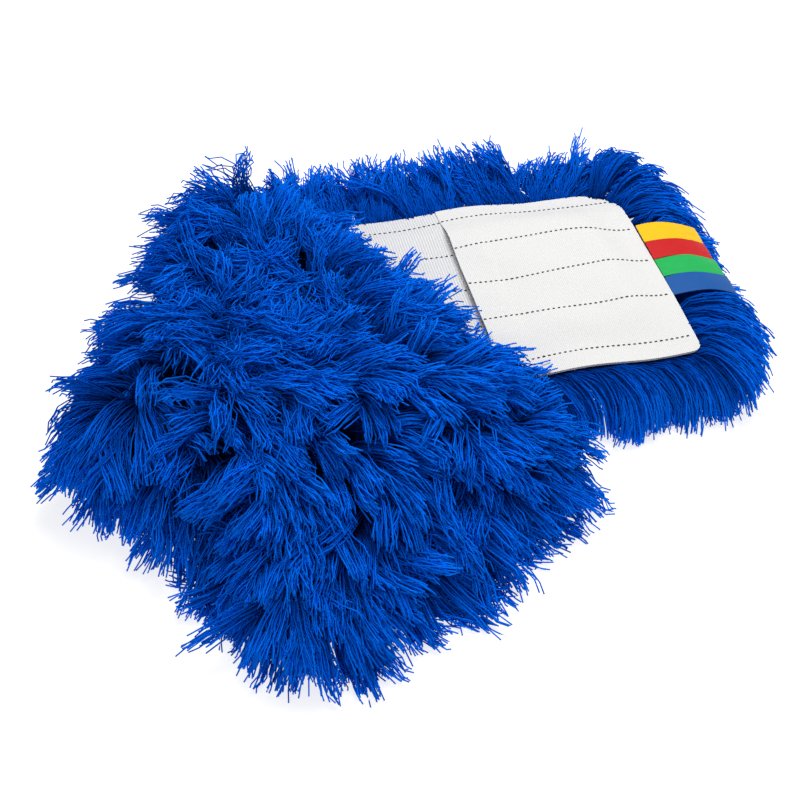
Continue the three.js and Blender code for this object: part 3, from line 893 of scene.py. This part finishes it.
def folded_locks(u, v, seed):
    """Guides for roots at u, v on the folded half, with the curl that suits each."""
    flat, tuft = gather(np.stack([u, v], 1), 18, seed, 0.15)
    u = np.clip(flat[:, 0], start_of(flat[:, 1]) + 1, end_of(folded, flat[:, 1]) - 1)
    v = flat[:, 1]
    roots = folded_point(u, v, BACKING_HEIGHT - CANVAS / 2 - 0.5 + sway(u, v))
    x, y = roots[:, 0], roots[:, 1]
    heading, core = outward(x, y)
    to_left, to_right, to_end = HALF_WIDTH - v, HALF_WIDTH + v, end_of(folded, v) - u
    own = np.random.default_rng(seed + 1)
    tuft_turn, tuft_lift = own.normal(0, 1, (2, tuft.max() + 1))
    each = own.normal(0, 1, (5, len(u)))
    edge = np.minimum(np.minimum(to_left, to_right), to_end)
    pull = (smooth(1 - edge / 30) * (0.45 + 0.4 * smooth((130 - u) / 60)))[:, None]
    end_way = np.radians(-70 - 0.4 * v)
    end_way = np.stack([np.cos(end_way), np.sin(end_way)], 1)
    normal = np.where((edge == to_left)[:, None], FOLDED_V, np.where(
        (edge == to_right)[:, None], 0.6 * FOLDED_U - 0.6 * FOLDED_V, end_way))
    way = np.stack([np.cos(np.radians(heading)), np.sin(np.radians(heading))], 1)
    way = way * (1 - pull) + normal * pull
    heading = np.degrees(np.arctan2(way[:, 1], way[:, 0]))
    heading += 20 * drift(x, y, 70, 3) + 18 * tuft_turn[tuft] + 18 * each[0]
    heading += core * (125 + 60 * drift(x, y, 60, 5) + 30 * each[4])
    wild = own.random(len(u)) < (0.08 + 0.22 * core) * smooth(edge / 30 - 0.3)
    heading = np.where(wild, own.uniform(0, 360, len(u)), heading)
    over_strip = smooth(1 - to_right / 36) * smooth((120 - u) / 50)
    over_edge = (1 - smooth(edge / 18)) * (1 - over_strip)
    inside = smooth(edge / 36)
    lift = 12 + 54 * inside - 34 * over_edge + 9 * tuft_lift[tuft] + 12 * each[1]
    droop = -34 + 12 * inside - 22 * over_edge + 11 * each[2]
    turn = 26 * drift(x, y, 50, 8) + 20 * each[3] + core * 90 * drift(x, y, 45, 9)
    bend = 16 * own.normal(0, 1, len(u)) * (1 + core)
    short = np.exp(-((edge - 15) / 11) ** 2)
    length = own.uniform(56, 68, len(u)) * (1 - 0.27 * short - 0.27 * over_strip)
    length *= 1 + 0.12 * over_edge + smooth(1 - to_left / 20) * (
        0.3 * np.exp(-((u - 92) / 32) ** 2) - 0.2 * smooth((u - 118) / 25) * smooth((178 - u) / 15))
    length *= 1 + 0.26 * smooth(1 - to_end / 20) * np.exp(-((v - 18) / 42) ** 2)
    length *= 1 - 0.24 * smooth(1 - to_right / 20) * smooth((u - 110) / 30)
    guides = grow(roots, heading, lift, droop, length, turn, bend, under_folded)
    return guides, 10 + 10 * core


LOCK_STRANDS, LOCK_SPREAD = 22, 5.6
LOOSE_STRANDS, LOOSE_SPREAD, LOOSE_CURL, LOOSE_SHARE = 5, 7.0, 18.0, 0.12


def lock_makeup(count, curl, seed):
    """Strands, spread and curl of each lock. A few are loose: fewer strands with more curl."""
    loose = np.random.default_rng(seed).random(count) < LOOSE_SHARE
    return (np.where(loose, LOOSE_STRANDS, LOCK_STRANDS),
            np.where(loose, LOOSE_SPREAD, LOCK_SPREAD), np.where(loose, LOOSE_CURL, curl))


INNER_LOCKS, OUTER_LOCKS, FOLDED_END_LOCKS = 150, 190, 176
for row in range(ROWS):
    centre = (row - (ROWS - 1) / 2) * ROW_PITCH
    reach = ROW_PITCH / 2
    low = centre - (SEAM - 1 if row == 0 else reach)
    high = centre + (SEAM - 1 if row == ROWS - 1 else reach)
    outer = row in (0, ROWS - 1)
    count = OUTER_LOCKS if outer else INNER_LOCKS
    v = rng.uniform(low, high, count)
    if outer:
        at_edge = rng.random(count) < 0.38
        v = np.where(at_edge, math.copysign(HALF_WIDTH - 1, v[0]) * rng.uniform(0.9, 1, count), v)
    u = start_of(v) + (end_of(folded, v) - start_of(v)) * rng.random(count)
    guides, curl = folded_locks(u, v, 100 + row)
    piece = make_yarn(f"folded_yarn_{row + 1}", f"folded_yarn_row_{row + 1}", guides,
                      *lock_makeup(count, curl, 40 + row), 10 + row)
    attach(piece, "folded_half")
    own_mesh(piece)

# %% The end fringe of the folded half
v = rng.uniform(-HALF_WIDTH + 2, HALF_WIDTH - 2, FOLDED_END_LOCKS)
u = end_of(folded, v) - 20 * rng.random(len(v)) ** 1.5
guides, curl = folded_locks(u, v, 120)
piece = make_yarn("folded_end_yarn", "folded_end_fringe", guides, LOCK_STRANDS, LOCK_SPREAD,
                  curl, 20)
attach(piece, "folded_half")
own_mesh(piece)

# %% [markdown]
# ### Round the fold
# Where the canvas bends, the yarn stands out all round it like the spokes of a half wheel.

# %% Locks round the fold
count, corner_count, crest_count = 240, 36, 50
ROOT_RADIUS = BEND_RADIUS + 1.2
run = rng.uniform(-FOLD_REACH, FOLD_REACH, count)
run = np.concatenate([run, rng.uniform(-FOLD_REACH, 14 - FOLD_REACH, corner_count),
                      rng.uniform(-FOLD_REACH, 40, crest_count)])
spoke = 90 * rng.uniform(-0.55, 1.0, count + corner_count)
spoke = np.concatenate([spoke, rng.uniform(55, 88, crest_count)])
crest = np.arange(len(run)) >= count + corner_count
count = len(run)
flat, tuft = gather(np.stack([run, spoke], 1), 20, 55, 0.15)
run, spoke = flat[:, 0], flat[:, 1]
out = ROOT_RADIUS * np.cos(np.radians(spoke))
xy = run[:, None] * FOLD_LINE - out[:, None] * FOLD_OUT
roots = np.column_stack([xy, HINGE_HEIGHT + ROOT_RADIUS * np.sin(np.radians(spoke))])
heading, core = outward(xy[:, 0], xy[:, 1])
away = 0.15 + 0.75 * smooth((run + 85) / 80)
way = np.stack([np.cos(np.radians(heading)), np.sin(np.radians(heading))], 1)
way = way - away[:, None] * FOLD_OUT
heading = np.degrees(np.arctan2(way[:, 1], way[:, 0]))
each = rng.normal(0, 1, (4, count))
tuft_turn = rng.normal(0, 1, tuft.max() + 1)[tuft]
far_end = smooth((run - 30) / 50)
heading += 22 * tuft_turn + 9 * each[0] + 20 * drift(run, spoke, 60, 4)
top = smooth((spoke - 50) / 40)
heading += top * 60 * rng.normal(0, 1, count)
heading = np.where(crest, rng.uniform(0, 360, count), heading)
near_end = smooth(-(run + 45) / 40)
lift = spoke * 0.9 + 11 * each[1] + 6 * tuft_turn
droop = -28 + 10 * far_end + 13 * each[2] - 14 * smooth(spoke / 40) - 22 * near_end
turn = 24 * each[3] + 40 * far_end * drift(run, spoke, 40, 6)
short = smooth(1 - np.abs(run + 52) / 38)
length = rng.uniform(58, 69, count) * np.where(crest, 0.85, 1)
length *= 1 - 0.15 * short - 0.17 * near_end + 0.14 * smooth(-(run + 76) / 14)
guides = grow(roots, heading, lift, droop, length, turn, 14 * rng.normal(0, 1, count), floor_only)
x, y, z = np.moveaxis(guides, -1, 0)
over_half = x * FOLD_LINE[1] - y * FOLD_LINE[0] > 0
on_top = np.maximum(z, under_folded(x, y))
below = np.minimum(z, BACKING_HEIGHT - 4)
guides[..., 2] = np.where(over_half, np.where(spoke[:, None] > 0, on_top, below), z)
makeup = lock_makeup(count, 9 + 11 * far_end, 61)
for side, part in (("near", run < 0), ("far", run >= 0)):
    piece = make_yarn(f"fold_yarn_{side}", "fold_yarn", guides[part],
                      *(values[part] for values in makeup), 30)
    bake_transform(piece)

# %% [markdown]
# ### The lower half
# This half lies on its yarn, so its locks come out from under the canvas. On the near side they
# are combed: they leave almost along the edge and sweep round to the floor. On the far side they
# stand up behind the canvas with curly tips, and at the end they fan out under the tags.

# %% The near fringe
YARN_ROOT = BACKING_HEIGHT - CANVAS / 2 - 0.6
NEAR_LOCKS, FAR_LOCKS, END_LOCKS, UNDER_LOCKS = 290, 290, 300, 50


def keep_under(guides, room=2.2):
    """Presses the part of each guide that is under the canvas down, clear of the cloth."""
    x, y, z = np.moveaxis(guides, -1, 0)
    covered = (np.abs(y) < HALF_WIDTH + 1.5) & (x < end_of(lower, y) + 1.5)
    pressed = np.minimum(z, YARN_ROOT - room + sway(x, y))
    return np.stack([x, y, np.where(covered, pressed, z)], -1)


count = NEAR_LOCKS
x = rng.uniform(start_of(-HALF_WIDTH) + 2, LOWER_LENGTH - 4, count)
x = np.where(rng.random(count) < 0.5, rng.uniform(100, LOWER_LENGTH - 4, count), x)
y = -HALF_WIDTH + rng.uniform(-1.5, 5, count)
flat, tuft = gather(np.stack([x, y], 1), 9, 71, 0.15)
x, y = flat.T
each = rng.normal(0, 1, (4, count))
corner = smooth((x - 225) / 45)
tuft_turn = rng.normal(0, 1, tuft.max() + 1)[tuft]
heading = -18 - 7 * tuft_turn + 9 * each[0]
turn = -75 + 30 * corner + 13 * each[3] + 12 * drift(x, y, 45, 21)
lift = 2 + 7 * each[1] + 4 * tuft_turn
droop = -78 + 5 * each[2]
roots = np.column_stack([x, y, YARN_ROOT - 1.5 + sway(x, y)])
guides = keep_under(grow(roots, heading, lift, droop, rng.uniform(44, 55, count), turn,
                         10 * each[2], floor_only, 0.9, 7))
piece = make_yarn("lower_yarn_near", "lower_yarn_row_1", guides, 13, 3.8, 7.0, 41, 0.3)
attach(piece, "lower_half")

# %% The far fringe
count = FAR_LOCKS
x = np.linspace(47, LOWER_LENGTH - 6, count) + rng.uniform(-2, 2, count)
y = HALF_WIDTH - rng.uniform(-1.5, 5, count)
flat, tuft = gather(np.stack([x, y], 1), 10, 73, 0.12)
x, y = flat.T
each = rng.normal(0, 1, (4, count))
tuft_turn = rng.normal(0, 1, tuft.max() + 1)[tuft]
corner = smooth((x - 200) / 60)
heading = 98 - 48 * corner + 5 * tuft_turn + 11 * each[0]
lift = 29 - 10 * corner + 3 * tuft_turn + (10 - 4 * corner) * each[1]
droop = -14 - 14 * corner + 18 * each[2]
turn = 22 * drift(x, y, 35, 12) + 20 * each[3] - 25 * corner
roots = np.column_stack([x, np.maximum(y, HALF_WIDTH - 3), YARN_ROOT - 1 + sway(x, y)])
length = rng.uniform(42, 56, count) * (1 + 0.06 * corner)
guides = keep_under(grow(roots, heading, lift, droop, length, turn,
                         16 * rng.normal(0, 1, count), floor_only))
piece = make_yarn("lower_yarn_far", "lower_yarn_row_5", guides, 12, 4.0, 13.0, 42, 0.5)
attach(piece, "lower_half")

# %% The end fringe
count = END_LOCKS
y = rng.uniform(-HALF_WIDTH + 3, HALF_WIDTH - 3, count)
x = end_of(lower, y) - rng.uniform(0.5, 9, count)
flat, tuft = gather(np.stack([x, y], 1), 11, 75, 0.2)
x, y = flat.T
x = np.minimum(x, end_of(lower, y) - 0.5)
each = rng.normal(0, 1, (4, count))
tuft_turn = rng.normal(0, 1, tuft.max() + 1)[tuft]
side = y / HALF_WIDTH
heading = 4 + 44 * side**3 + 8 * tuft_turn + 7 * each[0]
lift = 14 + 8 * tuft_turn + 9 * each[1]
droop = -62 + 8 * each[2]
under_tags = smooth((34 - np.abs(y)) / 12)
far_corner = smooth((side - 0.55) / 0.4)
lift += 12 * far_corner - 22 * under_tags
turn = -18 - 10 * smooth(-side) + 12 * each[3]
roots = np.column_stack([x, y, YARN_ROOT - 1 + sway(x, y)])
length = rng.uniform(63, 73, count) * (1 + 0.1 * far_corner
                                       - 0.22 * smooth((-side - 0.45) / 0.5))
guides = keep_under(grow(roots, heading, lift, droop, length, turn, 10 * each[3], floor_only, 0.9))
past_end = guides[..., 0] - LOWER_LENGTH
below_tags = (np.abs(guides[..., 1]) < 42) & (past_end < 56)
tag_room = np.where(below_tags, 25 - 10 * (past_end / 50) ** 2, YARN_CEILING)
guides[:, 1:, 2] = np.minimum(guides[:, 1:, 2], tag_room[:, 1:])
piece = make_yarn("lower_yarn_end", "lower_end_fringe", guides, 12, 3.7, 7.0, 43, 0.35)
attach(piece, "lower_half")

# %% The rows between, pressed under the canvas
for row in (1, 2, 3):
    count = UNDER_LOCKS
    centre = (row - (ROWS - 1) / 2) * ROW_PITCH
    y = rng.uniform(centre - ROW_PITCH / 2, centre + ROW_PITCH / 2, count)
    x = start_of(y) + (LOWER_LENGTH - 10 - start_of(y)) * rng.random(count)
    roots = np.column_stack([x, y, YARN_ROOT + sway(x, y)])
    guides = grow(roots, rng.uniform(0, 360, count), rng.uniform(-70, -30, count),
                  rng.uniform(-25, 5, count), rng.uniform(48, 60, count),
                  rng.uniform(-60, 60, count), rng.uniform(-10, 10, count), floor_only,
                  0.8, 6)
    guides[:, 1:, 2] = np.minimum(guides[:, 1:, 2], YARN_ROOT - 2)
    piece = make_yarn(f"lower_yarn_{row + 1}", f"lower_yarn_row_{row + 1}", guides, 10, 4.0, 2.0,
                      44 + row)
    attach(piece, "lower_half")
print("triangles in the yarn:", total_triangles)

# %% [markdown]
# ## What each cloth was cut to
# The canvas halves, the pockets and the hems are sheets. Each is declared with its flat size, so
# the finished surface can be checked against the cloth it stands for.

for half in (lower, folded):
    name = half["name"]
